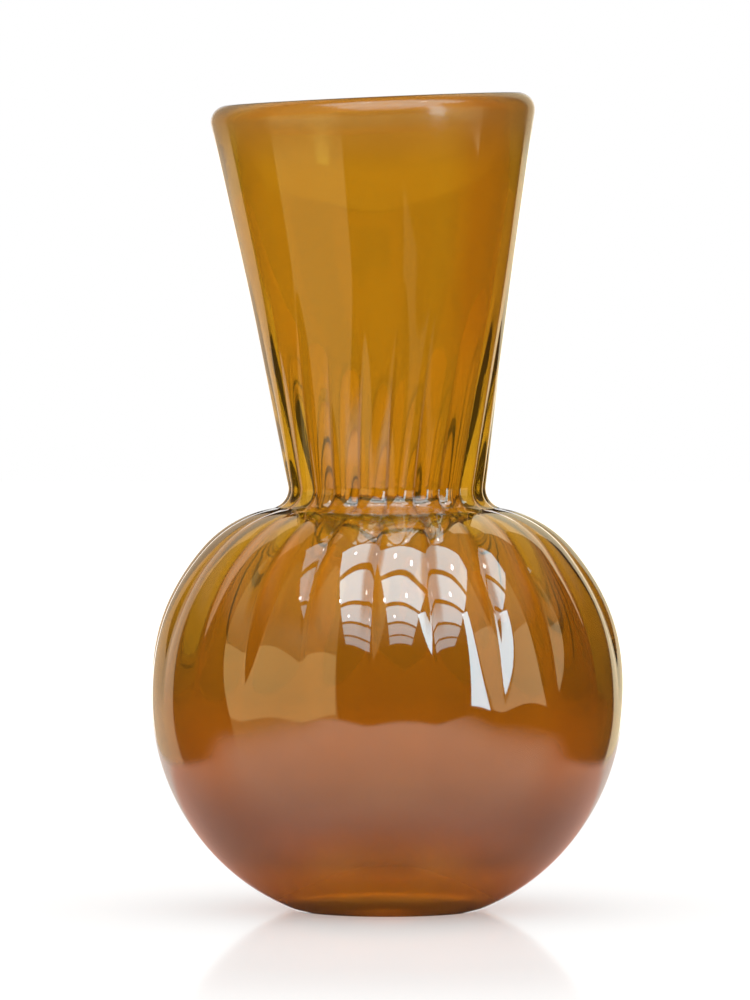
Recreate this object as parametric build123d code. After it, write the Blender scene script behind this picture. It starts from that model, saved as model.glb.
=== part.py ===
from build123d import *
import os
from math import asin, atan2, cos, degrees, hypot, pi, radians, sin, sqrt

# A mouth-blown gourd vase: round body, pinched waist and a wide neck that leans.
# It is blown in two layers of glass, fused hot: an amber lining and a ribbed casing.
# Millimetres, +Z up, origin under the middle of the base, front towards -Y.

# Outside form, measured in the grooves between the ribs
rim_height = 250.0  # base to the middle of the rim
rim_radius = 51.0  # neck at the rim, before the lip is rounded
body_radius = 72.8  # widest part of the body
body_mid_height = 65.5  # height of that widest part
base_radius = 28.8  # flat ground base
shoulder_radius = 37.0  # tighter arc that rolls from the body into the waist
shoulder_start = 41.0  # degrees up from the widest part where that arc begins
waist_radius = 28.1  # where shoulder and neck would meet in a sharp corner
waist_fillet = 6.0  # soft bottom of the crease at the waist
neck_lean = 2.2  # degrees towards -X
rim_slope = 2.6  # degrees, low side towards -X

# Soft ribs from the optic mould, strongest at the shoulder
rib_count = 22
rib_height = 1.6  # crest above groove
rib_bottom = 58.0  # height where they have died out on the body
rib_full = 98.0  # height where they are at their full depth
rib_top = 205.0  # height where they have died out on the neck
twist_start = 106.0  # height where they begin to turn round the vase
rib_twist = 16.8  # degrees turned from there to rib_top
front_groove = -4.5  # degrees from the front to the nearest groove, on the body

# The two layers
casing_wall = 2.8
lining_wall = 1.8
casing_floor = 6.0  # thickness of each layer at the base
lining_floor = 3.0
casing_bowl = 33.0  # radius of the flat bottom inside each layer
lining_bowl = 28.0
casing_lip = 5.2  # rounding of each layer's half of the lip
lining_lip = 2.2
lip_land = 0.2  # flat left on each layer between the two roundings
lip_depth = 30.0  # length over which the walls thicken towards the lip
rounding_end = 78.0  # degrees round from level at which a lip's rounding runs into its flat

# Polished mark under the base, where the blowing rod was broken off
pontil_width = 24.0
pontil_depth = 1.2

FRONT = -90.0  # direction of the front, in degrees from +X

# Rings that the glass is drawn through along each stretch, and points across each rib
BOWL_STEPS = 9
BODY_STEPS = 5
SHOULDER_STEPS = 6
CREASE_STEPS = 7
NECK_STEPS = 15
NECK_CROWDING = 1.5  # over 1 brings the neck's rings closer together near the crease
LIP_STEPS = 5
RIB_STEPS = 4


def arc_shift(widest, floor_radius, drop):
    """How far from the axis an arc is centred that runs from a floor to the widest part."""
    return (widest**2 - floor_radius**2 - drop**2) / (2 * (widest - floor_radius))


# Arcs of the outside form, as (radius, height) from the vase's axis
body_shift = arc_shift(body_radius, base_radius, body_mid_height)
body_arc = body_radius - body_shift
start = radians(shoulder_start)
shoulder_r = body_shift + (body_arc - shoulder_radius) * cos(start)
shoulder_z = body_mid_height + (body_arc - shoulder_radius) * sin(start)
corner_z = shoulder_z + sqrt(shoulder_radius**2 - (waist_radius - shoulder_r) ** 2)
neck_run = hypot(rim_radius - waist_radius, rim_height - corner_z)
up_r = (rim_radius - waist_radius) / neck_run
up_z = (rim_height - corner_z) / neck_run
flare = up_r / up_z

# Middle of the crease's arc, tangent to the shoulder's arc and to the neck's line
from_r = waist_radius + waist_fillet * up_z - shoulder_r
from_z = corner_z - waist_fillet * up_r - shoulder_z
along = from_r * up_r + from_z * up_z
reach = (shoulder_radius + waist_fillet) ** 2 - from_r**2 - from_z**2
climb = sqrt(along**2 + reach) - along
crease_r = shoulder_r + from_r + climb * up_r
crease_z = shoulder_z + from_z + climb * up_z
shoulder_end = atan2(crease_z - shoulder_z, crease_r - shoulder_r)

# Directions square to the neck's line, out of the vase and into it
neck_out = atan2(-up_r, up_z)
neck_in = atan2(up_r, -up_z)

# Radii of the two layers at the rim's top, inwards from the outside
flat = radians(rounding_end)
casing_top = rim_radius - casing_lip * ((sin(flat) + up_r) * flare + up_z - cos(flat))
seam_top = casing_top - lip_land
lining_top = seam_top - lip_land - lining_lip * (up_z - cos(flat))


def smooth_step(value, low, high):
    t = min(max((value - low) / (high - low), 0.0), 1.0)
    return t * t * (3.0 - 2.0 * t)


def on_arc(mid_r, mid_z, radius, first, last, steps):
    """Points along an arc, without its first one; the angles are in radians."""
    angles = [first + (last - first) * i / steps for i in range(1, steps + 1)]
    return [(mid_r + radius * cos(a), mid_z + radius * sin(a)) for a in angles]


def bowl_line(inset, floor_radius, floor_height):
    """Stations from a flat floor up to the widest part."""
    widest = body_radius - inset
    drop = body_mid_height - floor_height
    shift = arc_shift(widest, floor_radius, drop)
    lowest = atan2(-drop, floor_radius - shift)
    line = [(floor_radius, floor_height)]
    return line + on_arc(shift, body_mid_height, widest - shift, lowest, 0.0, BOWL_STEPS)


def waist_line(inset):
    """Stations from the widest part over the shoulder and through the crease."""
    line = on_arc(body_shift, body_mid_height, body_arc - inset, 0.0, start, BODY_STEPS)
    line += on_arc(shoulder_r, shoulder_z, shoulder_radius - inset, start, shoulder_end, SHOULDER_STEPS)
    turned = shoulder_end + pi
    return line + on_arc(crease_r, crease_z, waist_fillet + inset, turned, neck_in, CREASE_STEPS)


def neck_line(foot, swell, lip, square):
    """Stations from the crease up the neck and round the lip, which turns from square to the top."""
    foot_r, foot_z = foot
    lip_z = rim_height - lip * sin(flat)
    end_z = lip_z + lip * sin(square)
    line = []
    for i in range(1, NECK_STEPS + 1):
        z = foot_z + (end_z - foot_z) * (i / NECK_STEPS) ** NECK_CROWDING
        thicker = swell * smooth_step(z, rim_height - lip_depth, rim_height)
        line.append((foot_r + (z - foot_z) * flare - thicker, z))
    if lip:
        lip_r = line[-1][0] - lip * cos(square)
        top = flat if square < flat else pi - flat
        line += on_arc(lip_r, lip_z, lip, square, top, LIP_STEPS)
    return line


def wall_line(inset, floor_radius, floor_height, swell, lip, square):
    line = bowl_line(inset, floor_radius, floor_height) + waist_line(inset)
    return line + neck_line(line[-1], swell, lip, square)


def level(z):
    """Plane of the ring at a height: level on the body, leaning and sloping up the neck."""
    rise = max(z - crease_z, 0.0)
    lean = radians(neck_lean)
    slope = radians(rim_slope) * rise / (rim_height - crease_z)
    middle = (-rise * sin(lean) / cos(lean), 0, z)
    return Plane(middle, x_dir=(cos(slope), 0, sin(slope)), z_dir=(-sin(slope), 0, cos(slope)))


def ring_point(plane, radius, turn):
    return plane.from_local_coords(Vector(radius * cos(turn), radius * sin(turn), 0))


def ring_way(plane, turn, climb):
    """Direction along a ring, climbing out of it."""
    ahead = plane.y_dir * cos(turn) - plane.x_dir * sin(turn)
    return ahead + (plane.x_dir * cos(turn) + plane.y_dir * sin(turn)) * climb


def smooth_ring(radius, z):
    """A circle, as three arcs."""
    plane = level(z)
    third = 2 * pi / 3
    arcs = []
    for i in range(3):
        through = [ring_point(plane, radius, (i + part) * third) for part in (0, 0.5, 1)]
        arcs.append(Edge.make_three_point_arc(*through))
    return Wire(arcs)


def ribbed_ring(radius, z):
    """A scalloped ring: each rib swells from one narrow groove to the next."""
    plane = level(z)
    height = rib_height * smooth_step(z, rib_bottom, rib_full)
    height *= 1.0 - smooth_step(z, rib_full, rib_top)
    turned = rib_twist * min(max((z - twist_start) / (rib_top - twist_start), 0.0), 1.0)
    first_groove = radians(FRONT + front_groove + turned)
    pitch = 2 * pi / rib_count
    flank = height * pi / (pitch * radius)
    ribs = []
    for rib in range(rib_count):
        groove = first_groove + rib * pitch
        points = []
        for i in range(RIB_STEPS + 1):
            crest = height * sin(pi * i / RIB_STEPS)
            points.append(ring_point(plane, radius + crest, groove + pitch * i / RIB_STEPS))
        tangents = [ring_way(plane, groove, flank), ring_way(plane, groove + pitch, -flank)]
        ribs.append(Edge.make_spline(points, tangents=tangents))
    return Wire(ribs)


def outside_form():
    """The whole vase as a solid lump, with its ribs, round lip and base."""
    line = wall_line(0.0, base_radius, 0.0, 0.0, casing_lip, neck_out)
    return Solid.make_loft(ribbed_ring(r, z) for r, z in line)


def seam_form():
    """What the casing is blown over: the lining with its hollow filled."""
    swell = rim_radius - casing_wall / up_z - seam_top
    line = wall_line(casing_wall, casing_bowl, casing_floor, swell, 0.0, 0.0)
    return Solid.make_loft(smooth_ring(r, z) for r, z in line)


def hollow_form():
    """The air inside."""
    inset = casing_wall + lining_wall
    swell = rim_radius - inset / up_z - lining_top
    line = wall_line(inset, lining_bowl, casing_floor + lining_floor, swell, lining_lip, neck_in)
    return Solid.make_loft(smooth_ring(r, z) for r, z in line)


def pontil_mark():
    """The top of a large ball, which reaches as far below the base as into it."""
    radius = (pontil_width**2 / 4 + pontil_depth**2) / (2 * pontil_depth)
    lowest = degrees(asin(1 - 2 * pontil_depth / radius))
    return Pos(0, 0, pontil_depth - radius) * Sphere(radius, arc_size1=lowest, align=None)


seam = seam_form()
outer_casing = outside_form() - [seam, pontil_mark()]
amber_lining = seam - hollow_form()

os.makedirs("parts", exist_ok=True)
export_step(outer_casing, "parts/outer_casing.step")
export_step(amber_lining, "parts/amber_lining.step")
print("waist at", round(crease_z, 2), "shoulder ends at", round(degrees(shoulder_end), 1), "degrees")
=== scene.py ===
"""Looks of a mouth-blown gourd vase: two fused layers of amber glass with a lustre, on a pale floor."""

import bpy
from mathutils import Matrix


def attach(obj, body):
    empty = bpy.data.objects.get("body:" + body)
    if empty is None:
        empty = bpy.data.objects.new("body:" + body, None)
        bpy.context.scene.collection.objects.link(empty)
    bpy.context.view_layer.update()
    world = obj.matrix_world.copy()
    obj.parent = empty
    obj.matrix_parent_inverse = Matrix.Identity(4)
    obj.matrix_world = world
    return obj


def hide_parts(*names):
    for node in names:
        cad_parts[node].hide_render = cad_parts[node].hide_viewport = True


bl_info = {
    "name": "Gourd vase",
    "version": (1, 0, 0),
    "blender": (4, 5, 0),
    "location": "View3D > Sidebar > Vase",
    "description": "Builds the two glass layers of a ribbed gourd vase and a small studio around it",
    "category": "Add Mesh",
}

from math import asin, atan2, cos, hypot, pi, radians, sin, sqrt, tan

import bpy
from bpy.props import FloatProperty, FloatVectorProperty, IntProperty, PointerProperty
from mathutils import Vector

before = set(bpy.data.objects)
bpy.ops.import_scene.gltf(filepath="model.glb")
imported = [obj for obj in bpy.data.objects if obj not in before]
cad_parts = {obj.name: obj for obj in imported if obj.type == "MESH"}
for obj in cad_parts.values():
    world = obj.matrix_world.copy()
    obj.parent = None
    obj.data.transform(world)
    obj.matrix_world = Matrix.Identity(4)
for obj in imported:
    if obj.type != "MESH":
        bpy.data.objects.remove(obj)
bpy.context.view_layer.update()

MM = 0.001
FRONT = -pi / 2  # direction of the front, from +X
UP = Vector((0.0, 0.0, 1.0))
WHITE = (1.0, 1.0, 1.0, 1.0)

# Rings along each stretch of the wall, and points across each rib
PONTIL_STEPS = 8
BOWL_STEPS = 30
BODY_STEPS = 16
SHOULDER_STEPS = 24
CREASE_STEPS = 14
NECK_STEPS = 56
NECK_CROWDING = 1.35  # over 1 brings the neck's rings closer together near the crease
LIP_STEPS = 14
POINTS_PER_RIB = 16

GLASS_IOR = 1.5
STREAK_FLOOR = 0.3  # streaks fainter than this don't show
LEAST_LUSTRE = 0.82
LUSTRE_MOTTLE = 0.3  # what its mottle adds at most

# Stretches of the rim's height over which the glass changes; of two, the second is where that ends
FOOT_CLEARS = (0.12, 0.30)
LIP_DULLS = (0.93, 0.985)
LIP_BARES = (0.92, 0.965)
CREASE = (0.485, 0.50), (0.545, 0.57)
# the next stretch is where painted shade lines the grooves
SHADED_WAIST = (0.40, 0.496), (0.54, 0.74)
WORN_SHOULDER = (0.34, 0.40), (0.47, 0.50)
BARE_SHOULDER = (0.34, 0.38), (0.47, 0.50)
# the next two are where painted shade darkens the neck's sides and the body's right side
SHADED_NECK = (0.56, 0.75)
SHADED_BODY = (0.18, 0.28), (0.40, 0.50)

# Stretches round the vase, as shares of its radius to one side of the middle
# the next three are where painted shade darkens the sides
RIGHT_OF_NECK = (0.35, 0.75)
LEFT_OF_NECK = (0.80, 0.95)
RIGHT_OF_BODY = (0.66, 0.80)
LEFT_OF_FRONT = (0.28, 0.34), (0.50, 0.60)

# Stretches across a rib, from its crest at 0 to the groove at 0.5
# the next stretch is where painted shade darkens the grooves
GROOVE_SHADE_LINE = (0.39, 0.48)
GROOVE_WEAR = (0.31, 0.40)

# How much painted shade darkens the amber at those places, and how much of the lustre is gone
RIGHT_NECK_SHADE = 0.5
LEFT_NECK_SHADE = 0.35
RIGHT_BODY_SHADE = 0.32
LIP_LOSS = 0.85
CREASE_LOSS = 0.6
SHOULDER_LOSS = 0.95
PATCH_LOSS = 0.9  # of what the shoulder's grooves lose

# Strip lights and lamps overhead, in ceiling heights: across, and from the vase towards the camera
STRIP_LEVELS = (0.80, 1.0, 0.80, 0.50, 0.42)
STRIP_LEFT, STRIP_RIGHT = -0.42, 0.83
STRIP_START = 0.02
FIRST_STRIP_END = 0.38
STRIP_PITCH = 0.445
BEAM_WIDTH = 0.075
LAMPS = ((-0.08, 0.19), (0.33, 0.25), (0.27, 0.63), (-0.38, 0.68), (-0.12, 1.03))
LAMP_SIZE = 0.05
LAMP_DROP = 0.1

# Where the world's bright parts begin in mirrors: how far a direction points back, or up
BACKDROP_EDGE = (0.965, 0.975)
UPPER_EDGE = (0.35, 0.75)

# Edges on the floor, in metres from the middle of the vase
FLOOR_HALF = 4.0
GLOW_EDGE = (0.03, 0.08)
POLISH_EDGE = (0.18, 0.40)
# band beside the vase where the floor's rosy tone carries a painted amber shade of the vase
ROSY_SHADE_SIDES = (-0.08, -0.02), (0.10, 0.18)
TABLE_FRONT = (-0.42, -0.35)
TABLE_END_BESIDE = (0.165, 0.20)
TABLE_END_AHEAD = (0.12, 0.36)
BESIDE_EDGE = (-0.03, 0.03)
BESIDE_SLANT = 0.09
# painted shadow of the vase round its foot, as the gloss sees the floor
FOOT_SHADOW_EDGE = (0.03, 0.10)
FOOT_SHADOW_SQUEEZE = (1.6, 1.0, 1.0)  # brings that edge closer at the vase's sides
GRAZING = (0.80, 0.89)  # how flat a look has to be for the floor to mirror, 1 being level with it


def length(label, millimetres, description):
    return FloatProperty(
        name=label,
        description=description,
        default=millimetres * MM,
        precision=5,
        unit="LENGTH",
        subtype="DISTANCE",
    )


def angle(label, degrees, description):
    return FloatProperty(name=label, description=description, default=radians(degrees), subtype="ANGLE")


def share(label, default, description, high=1.0):
    return FloatProperty(name=label, description=description, default=default, min=0.0, max=high)


def colour(label, default, description):
    return FloatVectorProperty(
        name=label, description=description, default=default, size=3, min=0.0, max=1.0, subtype="COLOR"
    )


class VaseSizes(bpy.types.PropertyGroup):
    """Sizes of the glass, measured in the grooves between the ribs."""

    rim_height: length("Rim height", 250.0, "Base to the middle of the rim")
    rim_radius: length("Rim radius", 51.0, "Neck at the rim, before the lip is rounded")
    body_radius: length("Body radius", 72.8, "Widest part of the body")
    body_mid_height: length("Body mid height", 65.5, "Height of the widest part")
    base_radius: length("Base radius", 28.8, "Flat ground base")
    shoulder_radius: length("Shoulder radius", 37.0, "Tighter arc from the body into the waist")
    shoulder_start: angle("Shoulder start", 41.0, "Angle above the widest part where that arc begins")
    waist_radius: length("Waist radius", 28.1, "Sharp corner between shoulder and neck")
    waist_fillet: length("Waist fillet", 6.0, "Soft bottom of the crease at the waist")
    neck_lean: angle("Neck lean", 2.2, "Lean of the neck towards -X")
    rim_slope: angle("Rim slope", 2.6, "Slope of the rim, low side towards -X")
    rib_count: IntProperty(name="Ribs", description="Soft ribs round the vase", default=22, min=3)
    rib_height: length("Rib height", 1.6, "Crest above groove")
    rib_bottom: length("Rib bottom", 58.0, "Height where the ribs have died out on the body")
    rib_full: length("Rib full", 98.0, "Height where they are at their full depth")
    rib_top: length("Rib top", 205.0, "Height where they have died out on the neck")
    twist_start: length("Twist start", 106.0, "Height where they begin to turn round the vase")
    rib_twist: angle("Rib twist", 16.8, "Turn of the ribs from there to their top")
    front_groove: angle("Front groove", -4.5, "Angle from the front to the nearest groove")
    casing_wall: length("Casing wall", 2.8, "Thickness of the outer layer")
    lining_wall: length("Lining wall", 1.8, "Thickness of the inner layer")
    casing_floor: length("Casing floor", 6.0, "Thickness of the outer layer at the base")
    lining_floor: length("Lining floor", 3.0, "Thickness of the inner layer at the base")
    casing_bowl: length("Casing bowl", 33.0, "Flat bottom inside the outer layer")
    lining_bowl: length("Lining bowl", 28.0, "Flat bottom inside the inner layer")
    casing_lip: length("Casing lip", 5.2, "Rounding of the outer half of the lip")
    lining_lip: length("Lining lip", 2.2, "Rounding of the inner half of the lip")
    lip_land: length("Lip land", 0.2, "Flat left on each layer between the two roundings")
    lip_depth: length("Lip depth", 30.0, "Length over which the walls thicken towards the lip")
    rounding_end: angle("Rounding end", 78.0, "Where a lip's rounding runs into its flat")
    pontil_width: length("Pontil width", 24.0, "Polished mark under the base")
    pontil_depth: length("Pontil depth", 1.2, "Depth of that mark")
    soft_edge: length("Soft edge", 0.4, "Width of the shading at the edge of the base")
    seam_gap: length("Seam gap", 0.06, "Hair between the two layers, so that they don't share faces")


class GlassLook(bpy.types.PropertyGroup):
    """Colours and finish of the glass."""

    neck_amber: colour("Neck amber", (0.71, 0.385, 0.012), "Outer layer at the neck")
    shoulder_amber: colour("Shoulder amber", (0.61, 0.29, 0.011), "Outer layer at the shoulder")
    belly_amber: colour("Belly amber", (0.40, 0.168, 0.008), "Outer layer at the widest part")
    low_amber: colour("Low amber", (0.52, 0.185, 0.012), "Outer layer below the widest part")
    foot_amber: colour("Foot amber", (0.24, 0.080, 0.012), "Outer layer near the base")
    base_amber: colour("Base amber", (0.90, 0.25, 0.005), "Outer layer close to the base")
    # the lip's own amber, paled by a painted reflection of a pale room
    lip_reflection_amber: colour("Lip amber", (0.60, 0.33, 0.06), "Outer layer at the lip, where it is thick and dull")
    # painted shade: dark lines in the grooves round the waist
    groove_shade_amber: colour("Groove amber", (0.15, 0.05, 0.006), "Thin lines in the grooves round the waist")
    lining_amber: colour("Lining amber", (0.86, 0.64, 0.25), "Inner layer")
    ground_pale: colour("Ground base", (0.62, 0.47, 0.30), "Ground ring that the vase stands on")
    streaks: share("Streaks", 0.16, "Strength of the drawn streaks in the colour")
    lustre: share("Lustre", 1.0, "Cover of the lustre on the outside")
    lustre_ior: FloatProperty(
        name="Lustre index", description="How strongly the lustre mirrors", default=1.95, min=1.0
    )
    lustre_blur: share("Lustre blur", 0.035, "Roughness of the lustre")
    # strength of the painted shade in those grooves
    groove_shade_cover: share("Groove cover", 0.7, "Strength of those lines")
    glass_blur: share("Glass blur", 0.02, "Roughness of the glass")
    foot_blur: share("Foot blur", 0.23, "Added roughness of the thick glass near the base")
    lip_blur: share("Lip blur", 0.20, "Added roughness of the lip")
    clearness: share("Clearness", 0.86, "How clear the outer layer is, the rest being milky")
    waviness: length("Waviness", 0.12, "Height of the soft waves in the blown surface")


class StudioSetup(bpy.types.PropertyGroup):
    """Camera and light."""

    camera_distance: length("Camera distance", 2397.0, "Camera to the vase's axis")
    camera_height: length("Camera height", 211.0, "Camera above the floor")
    camera_side: length("Camera side", -3.75, "Camera to the side of the axis")
    camera_pitch: angle("Camera pitch", 2.02, "Camera's tilt down")
    lens_mm: FloatProperty(name="Lens", description="Focal length in millimetres", default=279.7)
    ceiling_height: length("Ceiling height", 1200.0, "Strip lights above the shoulder")
    ceiling_level: share("Ceiling level", 4.15, "Brightness of the strip lights", 20.0)
    lamp_level: share("Lamp level", 14.0, "Brightness of the small lamps under the strips", 50.0)
    window_level: share("Window level", 5.4, "Brightness of the tall narrow light at the right", 20.0)
    day_cool: colour("Daylight", (0.60, 0.87, 1.0), "Cool colour of the strips and the window")
    wall_distance: length("Wall distance", 1200.0, "Vase to the soft walls round it")
    wall_warm: colour("Wall colour", (1.0, 0.76, 0.32), "Warm colour of the soft walls")
    wall_level: share("Wall level", 0.45, "Brightness of the soft walls", 20.0)
    panel_pale: colour("Panel colour", (1.0, 0.85, 0.55), "Colour of the paler panels on them")
    panel_level: share("Panel level", 0.65, "Brightness of the panels", 20.0)
    backdrop_warm: colour("Backdrop colour", (1.0, 0.74, 0.48), "Warm cards behind, mirrored at the edges")
    backdrop_level: share("Backdrop level", 0.75, "Brightness of those cards", 20.0)
    room_level: share("Room level", 0.8, "Even light from all round, on the floor")
    upper_level: share("Upper level", 0.30, "What the glass mirrors from above, beside the lights")
    front_level: share("Front level", 0.015, "What the glass mirrors where there is no light")
    floor_pale: colour("Floor", (0.92, 0.91, 0.90), "Pale floor")
    floor_warm: colour("Floor in the gloss", (1.0, 0.86, 0.78), "Warm tone that the floor has in the glass")
    # the floor's rosy tone, darkened as a painted amber shade of the vase beside it
    floor_rosy_shade: colour("Floor beside the vase", (1.0, 0.58, 0.47), "Rosier tone in the glass beside it")
    floor_mirror: share("Floor mirror", 0.25, "How much the floor mirrors under the vase")
    floor_lift: share("Floor lift", 0.40, "Extra light on the floor, so that it reads as white")
    foot_glow: share("Foot glow", 0.9, "Light that the glass near the base shows from the floor under it")


class VaseForm:
    """The wall's outline, as stations of radius and height from the vase's axis."""

    def __init__(self, sizes):
        s = self.sizes = sizes
        self.body_shift = self.arc_shift(s.body_radius, s.base_radius, s.body_mid_height)
        self.body_arc = s.body_radius - self.body_shift
        start = s.shoulder_start
        self.shoulder_r = self.body_shift + (self.body_arc - s.shoulder_radius) * cos(start)
        self.shoulder_z = s.body_mid_height + (self.body_arc - s.shoulder_radius) * sin(start)
        corner_z = self.shoulder_z + sqrt(s.shoulder_radius**2 - (s.waist_radius - self.shoulder_r) ** 2)
        neck_run = hypot(s.rim_radius - s.waist_radius, s.rim_height - corner_z)
        self.up_r = (s.rim_radius - s.waist_radius) / neck_run
        self.up_z = (s.rim_height - corner_z) / neck_run
        self.flare = self.up_r / self.up_z

        # Middle of the crease's arc, tangent to the shoulder's arc and to the neck's line
        from_r = s.waist_radius + s.waist_fillet * self.up_z - self.shoulder_r
        from_z = corner_z - s.waist_fillet * self.up_r - self.shoulder_z
        along = from_r * self.up_r + from_z * self.up_z
        reach = (s.shoulder_radius + s.waist_fillet) ** 2 - from_r**2 - from_z**2
        climb = sqrt(along**2 + reach) - along
        self.crease_r = self.shoulder_r + from_r + climb * self.up_r
        self.crease_z = self.shoulder_z + from_z + climb * self.up_z
        self.shoulder_end = atan2(self.crease_z - self.shoulder_z, self.crease_r - self.shoulder_r)

        # Directions square to the neck's line, out of the vase and into it
        self.neck_out = atan2(-self.up_r, self.up_z)
        self.neck_in = atan2(self.up_r, -self.up_z)

        # Radii of the two layers at the rim's top, inwards from the outside
        end = s.rounding_end
        turned_in = (sin(end) + self.up_r) * self.flare + self.up_z - cos(end)
        self.casing_top = s.rim_radius - s.casing_lip * turned_in
        self.seam_top = self.casing_top - s.lip_land
        self.lining_top = self.seam_top - s.lip_land - s.lining_lip * (self.up_z - cos(end))

    @staticmethod
    def arc_shift(widest, floor_radius, drop):
        """How far from the axis an arc is centred that runs from a floor to the widest part."""
        return (widest**2 - floor_radius**2 - drop**2) / (2 * (widest - floor_radius))

    @staticmethod
    def on_arc(mid_r, mid_z, radius, first, last, steps):
        """Points along an arc, without its first one."""
        angles = [first + (last - first) * i / steps for i in range(1, steps + 1)]
        return [(mid_r + radius * cos(a), mid_z + radius * sin(a)) for a in angles]

    def bowl_line(self, inset, floor_radius, floor_height):
        s = self.sizes
        widest = s.body_radius - inset
        drop = s.body_mid_height - floor_height
        shift = self.arc_shift(widest, floor_radius, drop)
        lowest = atan2(-drop, floor_radius - shift)
        line = [(floor_radius, floor_height)]
        return line + self.on_arc(shift, s.body_mid_height, widest - shift, lowest, 0.0, BOWL_STEPS)

    def waist_line(self, inset):
        s = self.sizes
        start = s.shoulder_start
        rolled = self.shoulder_end
        line = self.on_arc(self.body_shift, s.body_mid_height, self.body_arc - inset, 0.0, start, BODY_STEPS)
        arc = s.shoulder_radius - inset
        line += self.on_arc(self.shoulder_r, self.shoulder_z, arc, start, rolled, SHOULDER_STEPS)
        arc = s.waist_fillet + inset
        return line + self.on_arc(self.crease_r, self.crease_z, arc, rolled + pi, self.neck_in, CREASE_STEPS)

    def neck_line(self, foot, swell, lip, square):
        """Stations from the crease up the neck and round the lip, which turns from square to the top."""
        s = self.sizes
        foot_r, foot_z = foot
        lip_z = s.rim_height - lip * sin(s.rounding_end)
        end_z = lip_z + lip * sin(square)
        line = []
        for i in range(1, NECK_STEPS + 1):
            z = foot_z + (end_z - foot_z) * (i / NECK_STEPS) ** NECK_CROWDING
            thicker = swell * smooth_step(z, s.rim_height - s.lip_depth, s.rim_height)
            line.append((foot_r + (z - foot_z) * self.flare - thicker, z))
        if lip:
            lip_r = line[-1][0] - lip * cos(square)
            top = s.rounding_end if square < s.rounding_end else pi - s.rounding_end
            line += self.on_arc(lip_r, lip_z, lip, square, top, LIP_STEPS)
        return line

    def wall_line(self, inset, floor_radius, floor_height, swell, lip, square):
        line = self.bowl_line(inset, floor_radius, floor_height) + self.waist_line(inset)
        return line + self.neck_line(line[-1], swell, lip, square)

    def outside_line(self):
        s = self.sizes
        return self.wall_line(0.0, s.base_radius, 0.0, 0.0, s.casing_lip, self.neck_out)

    def seam_line(self, gap):
        """The face where the layers are fused, drawn in by a gap."""
        s = self.sizes
        inset = s.casing_wall + gap
        swell = s.rim_radius - inset / self.up_z - self.seam_top + gap
        return self.wall_line(inset, s.casing_bowl - gap, s.casing_floor + gap, swell, 0.0, 0.0)

    def hollow_line(self):
        s = self.sizes
        inset = s.casing_wall + s.lining_wall
        floor = s.casing_floor + s.lining_floor
        swell = s.rim_radius - inset / self.up_z - self.lining_top
        return self.wall_line(inset, s.lining_bowl, floor, swell, s.lining_lip, self.neck_in)

    def pontil_line(self):
        """The polished dish under the base, from the axis out to the ground ring."""
        s = self.sizes
        half = s.pontil_width / 2
        ball = (half**2 + s.pontil_depth**2) / (2 * s.pontil_depth)
        reach = asin(half / ball)
        turns = [reach * i / PONTIL_STEPS for i in range(PONTIL_STEPS + 1)]
        return [(ball * sin(t), s.pontil_depth - ball + ball * cos(t)) for t in turns]

    def ground_line(self):
        """The ring that the vase stands on, with its edges kept crisp."""
        s = self.sizes
        return [(s.pontil_width / 2 + s.soft_edge, 0.0), (s.base_radius - s.soft_edge, 0.0)]

    def first_groove(self, z):
        """Bearing of the groove nearest the front, which turns with the twist."""
        s = self.sizes
        turned = min(max((z - s.twist_start) / (s.rib_top - s.twist_start), 0.0), 1.0)
        return FRONT + s.front_groove + s.rib_twist * turned

    def rib_height(self, z):
        s = self.sizes
        height = s.rib_height * smooth_step(z, s.rib_bottom, s.rib_full)
        return height * (1.0 - smooth_step(z, s.rib_full, s.rib_top))

    def place(self, radius, turn, z):
        """A point of the wall: level on the body, leaning and sloping up the neck."""
        s = self.sizes
        rise = max(z - self.crease_z, 0.0)
        slope = s.rim_slope * rise / (s.rim_height - self.crease_z)
        out = radius * cos(turn)
        return (out * cos(slope) - rise * tan(s.neck_lean), radius * sin(turn), z + out * sin(slope))


def smooth_step(value, low, high):
    t = min(max((value - low) / (high - low), 0.0), 1.0)
    return t * t * (3.0 - 2.0 * t)


def blow(name, form, stretches):
    """A closed skin of rings. Each stretch is (line, ribbed, material), and the ends close on the axis."""
    turns = form.sizes.rib_count * POINTS_PER_RIB
    rings = [(r, z, ribbed, finish) for line, ribbed, finish in stretches for r, z in line]
    points = []
    starts = []
    for r, z, ribbed, _ in rings:
        starts.append(len(points))
        if r == 0.0:
            points.append(form.place(0.0, 0.0, z))
            continue
        height = form.rib_height(z) if ribbed else 0.0
        for i in range(turns):
            turn = form.first_groove(z) + 2 * pi * i / turns
            swell = height * sin(pi * (i % POINTS_PER_RIB) / POINTS_PER_RIB)
            points.append(form.place(r + swell, turn, z))
    faces = []
    finishes = []
    for (low, below), (high, above) in zip(zip(starts, rings), zip(starts[1:], rings[1:])):
        for i in range(turns):
            j = (i + 1) % turns
            if below[0] == 0.0:
                faces.append((low, high + j, high + i))
            elif above[0] == 0.0:
                faces.append((low + i, low + j, high))
            else:
                faces.append((low + i, low + j, high + j, high + i))
            finishes.append(above[3])
    mesh = bpy.data.meshes.new(name)
    mesh.from_pydata(points, [], faces)
    mesh.polygons.foreach_set("material_index", finishes)
    mesh.shade_smooth()
    if mesh.validate():
        raise RuntimeError(f"the mesh of {name} has faults")
    piece = bpy.data.objects.new(name, mesh)
    bpy.context.scene.collection.objects.link(piece)
    return piece


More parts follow.
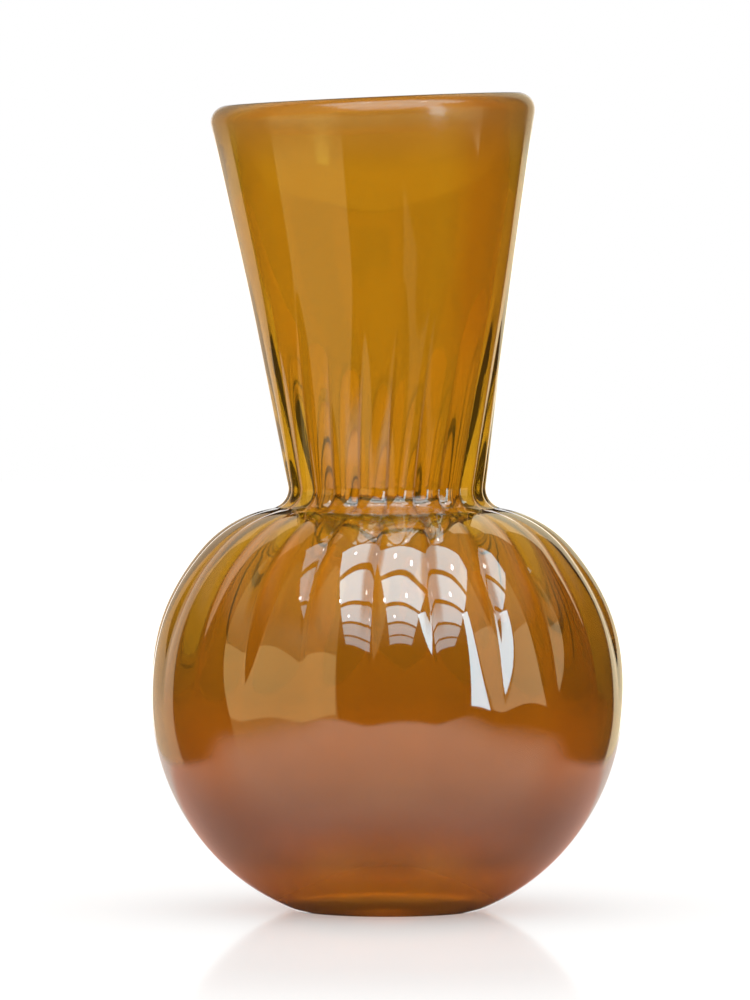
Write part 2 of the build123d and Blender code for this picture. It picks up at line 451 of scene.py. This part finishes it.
class Value:
    """A number in a node tree, so that sums on it are written as sums."""

    def __init__(self, paint, socket):
        self.paint = paint
        self.socket = socket

    def math(self, operation, first, second=0.0):
        settings = {"operation": operation}
        return self.paint.node("ShaderNodeMath", settings, {0: first, 1: second}).value("Value")

    def __add__(self, other):
        return self.math("ADD", self, other)

    def __radd__(self, other):
        return self.math("ADD", other, self)

    def __neg__(self):
        return 0.0 - self

    def __sub__(self, other):
        return self.math("SUBTRACT", self, other)

    def __rsub__(self, other):
        return self.math("SUBTRACT", other, self)

    def __mul__(self, other):
        return self.math("MULTIPLY", self, other)

    def __rmul__(self, other):
        return self.math("MULTIPLY", other, self)

    def __truediv__(self, other):
        return self.math("DIVIDE", self, other)

    def largest(self, other):
        return self.math("MAXIMUM", self, other)

    def fraction(self):
        return self.math("FRACT", self)

    def bearing(self, x):
        """Angle round the axis of a point that is this far along Y."""
        return self.math("ARCTAN2", self, x)

    def size(self):
        return self.math("ABSOLUTE", self)

    def step(self, low, high):
        """0 below low, 1 above high and smooth between them."""
        settings = {"interpolation_type": "SMOOTHSTEP"}
        inputs = {"Value": self, "From Min": low, "From Max": high}
        return self.paint.node("ShaderNodeMapRange", settings, inputs).value("Result")

    def between(self, rise, fall):
        """1 from the end of the rise to the start of the fall, and 0 outside them."""
        return self.step(*rise) * (1.0 - self.step(*fall))


class Made:
    """A node, whose outputs are read by name."""

    def __init__(self, paint, node):
        self.paint = paint
        self.node = node

    def value(self, name):
        return Value(self.paint, self.node.outputs[name])


class Paint:
    """Adds nodes to a tree."""

    def __init__(self, tree):
        self.tree = tree
        tree.nodes.clear()

    def node(self, kind, settings=None, inputs=None):
        """One node: its settings are set first, then its inputs get their values or links."""
        node = self.tree.nodes.new(kind)
        for key, setting in (settings or {}).items():
            if key == "stops":
                self.set_stops(node.color_ramp, setting)
            else:
                setattr(node, key, setting)
        for key, given in (inputs or {}).items():
            if isinstance(given, Value):
                self.tree.links.new(given.socket, node.inputs[key])
            else:
                node.inputs[key].default_value = given
        return Made(self, node)

    @staticmethod
    def set_stops(ramp, stops):
        while len(ramp.elements) < len(stops):
            ramp.elements.new(1.0)
        for element, (place, tint) in zip(ramp.elements, stops):
            element.position = place
            element.color = opaque(tint)

    def place(self):
        """Where on the vase a point is, in metres."""
        return self.node("ShaderNodeTexCoord").value("Object")

    def parts(self, vector):
        made = self.node("ShaderNodeSeparateXYZ", None, {"Vector": vector})
        return [made.value(axis) for axis in "XYZ"]

    def stretched(self, vector, scale):
        settings = {"operation": "MULTIPLY"}
        return self.node("ShaderNodeVectorMath", settings, {0: vector, 1: scale}).value("Vector")

    def distance(self, vector):
        return self.node("ShaderNodeVectorMath", {"operation": "LENGTH"}, {0: vector}).value("Value")

    def noise(self, vector, scale, detail):
        inputs = {"Vector": vector, "Scale": scale, "Detail": detail}
        return self.node("ShaderNodeTexNoise", None, inputs).value("Fac")

    def mix(self, factor, first, second, blend="MIX"):
        settings = {"data_type": "RGBA", "blend_type": blend}
        inputs = {"Factor": factor, 6: first, 7: second}
        return Value(self, self.node("ShaderNodeMix", settings, inputs).node.outputs[2])

    def deeper(self, tint):
        """A varying colour as it looks through twice the glass."""
        return self.mix(1.0, tint, tint, "MULTIPLY")

    def finish(self, shader):
        self.node("ShaderNodeOutputMaterial", None, {"Surface": shader})


def opaque(tint):
    """A colour with its alpha."""
    return (*tint, 1.0)


def twice_through(tint):
    """A colour as it looks through twice the glass."""
    return opaque([part * part for part in tint])


def new_material(name):
    material = bpy.data.materials.new(name)
    material.use_nodes = True
    return material, Paint(material.node_tree)


def drawn_streaks(paint, place):
    """Streaks drawn out along the vase as it was blown, from 0 to 1."""
    along = paint.stretched(place, (70.0, 70.0, 5.0))
    return paint.noise(along, scale=1.0, detail=3.0)


def soft_waves(paint, place, height):
    """The slight waves of a surface that was never touched by a mould after blowing."""
    along = paint.stretched(place, (1.0, 1.0, 0.45))
    waves = paint.noise(along, scale=60.0, detail=1.0)
    inputs = {"Strength": 1.0, "Distance": height, "Height": waves}
    return paint.node("ShaderNodeBump", None, inputs).value("Normal")


def to_the_side(paint, place):
    """How far round to +X a point is, from -1 to 1."""
    from_axis = paint.distance(paint.stretched(place, (1.0, 1.0, 0.0)))
    return paint.parts(place)[0] / from_axis


def painted_side_shade(side, height):
    """Painted shade: darker amber at the neck's sides and on the body's right side, from 0 to 1."""
    right = RIGHT_NECK_SHADE * side.step(*RIGHT_OF_NECK)
    left = LEFT_NECK_SHADE * (-side).step(*LEFT_OF_NECK)
    body = height.between(*SHADED_BODY) * side.step(*RIGHT_OF_BODY)
    return height.step(*SHADED_NECK) * (right + left) + RIGHT_BODY_SHADE * body


def from_crest(paint, place, form):
    """Distance across a rib, from 0 at its crest to 0.5 in the grooves beside it."""
    s = form.sizes
    x, y, z = paint.parts(place)
    x = x + (z - form.crease_z).largest(0.0) * tan(s.neck_lean)
    turned = ((z - s.twist_start) / (s.rib_top - s.twist_start)).largest(0.0)
    from_groove = y.bearing(x) - (FRONT + s.front_groove) - turned * s.rib_twist
    across = (from_groove * (s.rib_count / (2 * pi))).fraction()
    return (across - 0.5).size()


def worn_blur(height, look):
    """Roughness of the glass: clear in the middle, dull near the base and at the lip."""
    low = 1.0 - height.step(*FOOT_CLEARS)
    return look.glass_blur + low * look.foot_blur + height.step(*LIP_DULLS) * look.lip_blur


def casing_amber(paint, place, height, side, across, look):
    """Amber of the outer layer, deeper in streaks, with painted shade at the sides of the neck and body and
    in the grooves of the waist, and paled at the lip by a painted reflection.
    """
    tints = [
        (0.0, look.base_amber),
        (0.025, look.base_amber),
        (0.07, look.foot_amber),
        (0.12, look.foot_amber),
        (0.18, look.low_amber),
        (0.28, look.belly_amber),
        (0.46, look.shoulder_amber),
        (0.56, look.neck_amber),
        (0.92, look.neck_amber),
        # the lip's amber here is paled by a painted reflection of a pale room
        (0.97, look.lip_reflection_amber),
        (1.0, look.lip_reflection_amber),
    ]
    plain = paint.node("ShaderNodeValToRGB", {"stops": tints}, {"Fac": height}).value("Color")
    streaks = (drawn_streaks(paint, place) - STREAK_FLOOR) * (2.0 * look.streaks)
    streaked = paint.mix(streaks, plain, paint.deeper(plain))
    # painted shade: darker amber at the sides of the neck and body
    side_shaded = paint.mix(painted_side_shade(side, height), streaked, paint.deeper(streaked))
    # painted shade: dark lines in the grooves round the waist
    groove_shade = across.step(*GROOVE_SHADE_LINE) * height.between(*SHADED_WAIST)
    return paint.mix(groove_shade * look.groove_shade_cover, side_shaded, opaque(look.groove_shade_amber))


def lustre_cover(paint, place, height, side, across, look):
    """Cover of the lustre: mottled, and worn at the lip, in the crease and on parts of the shoulder."""
    mottle = paint.noise(place, scale=55.0, detail=3.0)
    grooves = across.step(*GROOVE_WEAR) * height.between(*WORN_SHOULDER)
    patch = (-side).between(*LEFT_OF_FRONT) * height.between(*BARE_SHOULDER)
    lip = height.step(*LIP_BARES)
    crease = height.between(*CREASE)
    shoulder = grooves.largest(PATCH_LOSS * patch)
    worn = LIP_LOSS * lip + CREASE_LOSS * crease + SHOULDER_LOSS * shoulder
    return look.lustre * (LEAST_LUSTRE + LUSTRE_MOTTLE * mottle) * (1.0 - worn)


def lustred_glass(look, form):
    """Outside of the vase: amber glass under a thin mirroring lustre."""
    material, paint = new_material("lustred_glass")
    place = paint.place()
    height = paint.parts(place)[2] / form.sizes.rim_height
    side = to_the_side(paint, place)
    across = from_crest(paint, place, form)
    inputs = {
        "Base Color": casing_amber(paint, place, height, side, across, look),
        "Roughness": worn_blur(height, look),
        "IOR": GLASS_IOR,
        "Transmission Weight": look.clearness,
        "Coat Weight": lustre_cover(paint, place, height, side, across, look),
        "Coat Roughness": look.lustre_blur,
        "Coat IOR": look.lustre_ior,
        "Normal": soft_waves(paint, place, look.waviness),
    }
    glass = paint.node("ShaderNodeBsdfPrincipled", None, inputs)
    paint.finish(glass.value("BSDF"))
    return material


def amber_glass(look, form):
    """Inside of the vase: bare amber glass."""
    material, paint = new_material("amber_glass")
    place = paint.place()
    height = paint.parts(place)[2] / form.sizes.rim_height
    streaks = (drawn_streaks(paint, place) - STREAK_FLOOR) * look.streaks
    inputs = {
        "Base Color": paint.mix(streaks, opaque(look.lining_amber), twice_through(look.lining_amber)),
        "Roughness": worn_blur(height, look),
        "IOR": GLASS_IOR,
        "Transmission Weight": 1.0,
        "Normal": soft_waves(paint, place, look.waviness),
    }
    glass = paint.node("ShaderNodeBsdfPrincipled", None, inputs)
    paint.finish(glass.value("BSDF"))
    return material


def fused_seam():
    """Where the layers are one glass, so nothing shows."""
    material, paint = new_material("fused_seam")
    clear = paint.node("ShaderNodeBsdfTransparent")
    paint.finish(clear.value("BSDF"))
    return material


def ground_glass(look):
    """The ring under the base, ground flat and left matt."""
    material, paint = new_material("ground_glass")
    grit = paint.noise(paint.place(), scale=900.0, detail=4.0)
    bump = paint.node("ShaderNodeBump", None, {"Distance": 0.05 * MM, "Height": grit})
    inputs = {
        "Base Color": paint.mix(grit * 0.5, opaque(look.ground_pale), twice_through(look.ground_pale)),
        "Roughness": 0.4 + 0.2 * grit,
        "Transmission Weight": 0.4,
        "Normal": bump.value("Normal"),
    }
    glass = paint.node("ShaderNodeBsdfPrincipled", None, inputs)
    paint.finish(glass.value("BSDF"))
    return material


def settle(piece, node, materials):
    """Gives a piece its finishes and seats it in the frame."""
    for material in materials:
        piece.data.materials.append(material)
    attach(piece, "root")
    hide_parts(node)


class VASE_OT_outer_casing(bpy.types.Operator):
    """Blow the ribbed outer layer, with its lip, ground base and pontil mark"""

    bl_idname = "vase.outer_casing"
    bl_label = "Outer casing"

    def execute(self, context):
        sizes = context.scene.vase_sizes
        look = context.scene.vase_look
        form = VaseForm(sizes)
        outside = form.outside_line()
        lustred, ground, fused = range(3)
        stretches = [
            (form.pontil_line(), False, lustred),
            (form.ground_line(), False, ground),
            (outside[:1], False, ground),
            (outside[1:], True, lustred),
            (form.seam_line(0.0)[::-1], False, fused),
            ([(0.0, sizes.casing_floor)], False, fused),
        ]
        piece = blow("casing_glass", form, stretches)
        finishes = [lustred_glass(look, form), ground_glass(look), fused_seam()]
        settle(piece, "outer_casing", finishes)
        return {"FINISHED"}


class VASE_OT_amber_lining(bpy.types.Operator):
    """Blow the amber inner layer, fused to the inside of the casing"""

    bl_idname = "vase.amber_lining"
    bl_label = "Amber lining"

    def execute(self, context):
        sizes = context.scene.vase_sizes
        look = context.scene.vase_look
        form = VaseForm(sizes)
        bare, fused = range(2)
        stretches = [
            ([(0.0, sizes.casing_floor + sizes.seam_gap)], False, fused),
            (form.seam_line(sizes.seam_gap), False, fused),
            (form.hollow_line()[::-1], False, bare),
            ([(0.0, sizes.casing_floor + sizes.lining_floor)], False, bare),
        ]
        piece = blow("lining_glass", form, stretches)
        settle(piece, "amber_lining", [amber_glass(look, form), fused_seam()])
        return {"FINISHED"}


def soft_light(name, middle, target, width, height, level, tint=(1.0, 1.0, 1.0)):
    """A flat soft light of an even brightness, there only for the gloss."""
    data = bpy.data.lights.new(name, "AREA")
    data.shape = "RECTANGLE"
    data.size = width
    data.size_y = height
    data.energy = level * pi * width * height
    data.color = tint
    light = bpy.data.objects.new(name, data)
    light.location = middle
    light.rotation_euler = (Vector(target) - Vector(middle)).to_track_quat("-Z", "Y").to_euler()
    light.visible_camera = False
    light.visible_diffuse = False
    light.visible_transmission = False
    bpy.context.scene.collection.objects.link(light)


def ceiling_lights(setup, form):
    """Strip lights overhead, from above the vase towards the camera, with small lamps under them."""
    high = setup.ceiling_height
    top = high + form.shoulder_z
    along = high * (STRIP_RIGHT - STRIP_LEFT)
    centre = high * (STRIP_LEFT + STRIP_RIGHT) / 2
    near = STRIP_START
    for i, strength in enumerate(STRIP_LEVELS):
        far = FIRST_STRIP_END + STRIP_PITCH * i
        middle = Vector((centre, -high * (near + far) / 2, top))
        level = setup.ceiling_level * strength
        soft_light(f"strip_{i + 1}", middle, middle - UP, along, high * (far - near), level, setup.day_cool)
        near = far + BEAM_WIDTH
    size = high * LAMP_SIZE
    for i, (across, ahead) in enumerate(LAMPS):
        middle = Vector((high * across, -high * ahead, top - high * LAMP_DROP))
        soft_light(f"lamp_{i + 1}", middle, middle - UP, size, size, setup.lamp_level)


def upright_light(name, setup, first, last, low, high, level, tint):
    """An upright soft light that spans two bearings from the front, + to the right, and two elevations."""
    away = setup.wall_distance
    bearing = (first + last) / 2
    width = 2 * away * tan((last - first) / 2)
    bottom = away * tan(low)
    top = away * tan(high)
    middle = (away * sin(bearing), -away * cos(bearing), (bottom + top) / 2)
    soft_light(name, middle, (0.0, 0.0, middle[2]), width, top - bottom, level, tint)


def wall_lights(setup):
    """Soft walls beside the camera with a paler panel on each, a window, and cards behind the vase."""
    lights = [
        ("left_wall", (-80, -23), (-28, 65), setup.wall_level, setup.wall_warm),
        ("left_panel", (-80, -24), (-6, 22), setup.panel_level * 1.1, setup.wall_warm),
        ("right_low", (22, 50), (-22, -9), setup.wall_level * 0.5, setup.wall_warm),
        ("right_wall", (52, 84), (-1.5, 60), setup.wall_level, setup.wall_warm),
        ("right_panel", (54, 84), (-1.5, 30), setup.panel_level, setup.panel_pale),
        ("window", (40, 52), (-2, 42), setup.window_level, setup.day_cool),
        ("left_card", (-170, -127), (-17, 60), setup.backdrop_level * 0.88, setup.backdrop_warm),
        ("right_card", (144, 172), (-12, 60), setup.backdrop_level * 1.15, setup.panel_pale),
    ]
    for name, bearings, elevations, level, tint in lights:
        upright_light(name, setup, *map(radians, bearings), *map(radians, elevations), level, tint)


def studio_world(setup):
    """White to the camera and through the glass, pale behind the vase and dark in front of it in mirrors."""
    world = bpy.data.worlds.new("studio")
    world.use_nodes = True
    paint = Paint(world.node_tree)
    path = paint.node("ShaderNodeLightPath")
    through = path.value("Is Transmission Ray")
    glossy = path.value("Is Glossy Ray")
    seen = path.value("Is Camera Ray").largest(through)
    y, z = paint.parts(paint.node("ShaderNodeTexCoord").value("Generated"))[1:]
    upper = z.step(*UPPER_EDGE)
    mirrored = y.step(*BACKDROP_EDGE) + upper * setup.upper_level + setup.front_level
    level = seen + (1.0 - seen) * (glossy * mirrored + (1.0 - glossy) * setup.room_level)
    tint = paint.mix(glossy * (1.0 - through) * upper, WHITE, opaque(setup.wall_warm))
    back = paint.node("ShaderNodeBackground", None, {"Color": tint, "Strength": level})
    paint.node("ShaderNodeOutputWorld", None, {"Surface": back.value("Background")})
    bpy.context.scene.world = world


def table_top(paint, place):
    """Part of the floor that the vase's gloss shows: dark at the foot, where a shadow of the vase is
    painted, and cut off at the front and sides.
    """
    x, y = paint.parts(place)[:2]
    aside = x.size()
    beside = (y + aside * BESIDE_SLANT).step(*BESIDE_EDGE)
    cut = beside * aside.step(*TABLE_END_BESIDE) + (1.0 - beside) * aside.step(*TABLE_END_AHEAD)
    # painted shadow: near the foot the floor drops out of the gloss, so the glass mirrors dark there
    foot = paint.distance(paint.stretched(place, FOOT_SHADOW_SQUEEZE)).step(*FOOT_SHADOW_EDGE)
    return y.step(*TABLE_FRONT) * (1.0 - cut) * foot


def floor_material(setup):
    """A pale satin floor that reads as white, keeps the shadow and mirrors the vase faintly."""
    material, paint = new_material("pale_floor")
    path = paint.node("ShaderNodeLightPath")
    camera = path.value("Is Camera Ray")
    through = path.value("Is Transmission Ray")
    glossy = path.value("Is Glossy Ray")
    place = paint.place()
    away = paint.distance(place)

    grain = paint.noise(place, scale=40.0, detail=2.0)
    tone = paint.mix(grain * 0.04, opaque(setup.floor_pale), twice_through(setup.floor_pale))
    # beside the vase the floor in the gloss is rosier and darker: its rosy tone plus a painted amber shade
    # of the vase
    beside = paint.parts(place)[1].between(*ROSY_SHADE_SIDES)
    in_gloss = paint.mix(beside, opaque(setup.floor_warm), opaque(setup.floor_rosy_shade))
    glow = through * (1.0 - away.step(*GLOW_EDGE)) * setup.foot_glow
    inputs = {
        "Base Color": paint.mix(glossy, tone, in_gloss),
        "Roughness": 1.0,
        "Specular IOR Level": 0.0,
        "Emission Color": camera.largest(through) * setup.floor_lift + glow,
        "Emission Strength": 1.0,
    }
    matt = paint.node("ShaderNodeBsdfPrincipled", None, inputs).value("BSDF")
    mirror = paint.node("ShaderNodeBsdfGlossy", None, {"Color": WHITE, "Roughness": 0.08}).value("BSDF")
    flatness = paint.node("ShaderNodeLayerWeight", None, {"Blend": 0.5}).value("Facing")
    polish = camera * (1.0 - away.step(*POLISH_EDGE)) * flatness.step(*GRAZING) * setup.floor_mirror
    polished = paint.node("ShaderNodeMixShader", None, {0: polish, 1: matt, 2: mirror}).value("Shader")

    hidden = glossy * (1.0 - through) * (1.0 - table_top(paint, place))
    clear = paint.node("ShaderNodeBsdfTransparent").value("BSDF")
    shown = paint.node("ShaderNodeMixShader", None, {0: hidden, 1: polished, 2: clear})
    paint.finish(shown.value("Shader"))
    return material


def lay_floor(setup):
    """A wide level floor."""
    mesh = bpy.data.meshes.new("floor")
    half = FLOOR_HALF
    corners = [(-half, -half, 0.0), (half, -half, 0.0), (half, half, 0.0), (-half, half, 0.0)]
    mesh.from_pydata(corners, [], [(0, 1, 2, 3)])
    mesh.materials.append(floor_material(setup))
    floor = bpy.data.objects.new("floor", mesh)
    bpy.context.scene.collection.objects.link(floor)


class VASE_OT_stage(bpy.types.Operator):
    """Set the pale floor, the soft lights and the camera"""

    bl_idname = "vase.stage"
    bl_label = "Stage"

    def execute(self, context):
        scene = context.scene
        setup = scene.vase_studio
        form = VaseForm(scene.vase_sizes)
        lay_floor(setup)
        studio_world(setup)
        ceiling_lights(setup, form)
        wall_lights(setup)

        data = bpy.data.cameras.new("camera")
        data.lens = setup.lens_mm
        camera = bpy.data.objects.new("camera", data)
        camera.location = (setup.camera_side, -setup.camera_distance, setup.camera_height)
        camera.rotation_euler = (pi / 2 - setup.camera_pitch, 0.0, 0.0)
        scene.collection.objects.link(camera)
        scene.camera = camera
        scene.view_settings.view_transform = "Standard"
        return {"FINISHED"}


class VASE_PT_panel(bpy.types.Panel):
    """Lists the vase's pieces and sizes in the sidebar"""

    bl_idname = "VASE_PT_panel"
    bl_label = "Gourd vase"
    bl_space_type = "VIEW_3D"
    bl_region_type = "UI"
    bl_category = "Vase"

    def draw(self, context):
        layout = self.layout
        for operator in (VASE_OT_outer_casing, VASE_OT_amber_lining, VASE_OT_stage):
            layout.operator(operator.bl_idname)
        for group in (context.scene.vase_sizes, context.scene.vase_look, context.scene.vase_studio):
            for name in group.bl_rna.properties.keys():
                if name not in ("rna_type", "name"):
                    layout.prop(group, name)


CLASSES = (
    VaseSizes,
    GlassLook,
    StudioSetup,
    VASE_OT_outer_casing,
    VASE_OT_amber_lining,
    VASE_OT_stage,
    VASE_PT_panel,
)


def register():
    for cls in CLASSES:
        bpy.utils.register_class(cls)
    bpy.types.Scene.vase_sizes = PointerProperty(type=VaseSizes)
    bpy.types.Scene.vase_look = PointerProperty(type=GlassLook)
    bpy.types.Scene.vase_studio = PointerProperty(type=StudioSetup)


def unregister():
    del bpy.types.Scene.vase_studio
    del bpy.types.Scene.vase_look
    del bpy.types.Scene.vase_sizes
    for cls in reversed(CLASSES):
        bpy.utils.unregister_class(cls)


def main():
    register()
    bpy.ops.vase.outer_casing()
    bpy.ops.vase.amber_lining()
    bpy.ops.vase.stage()


if __name__ == "__main__":
    main()
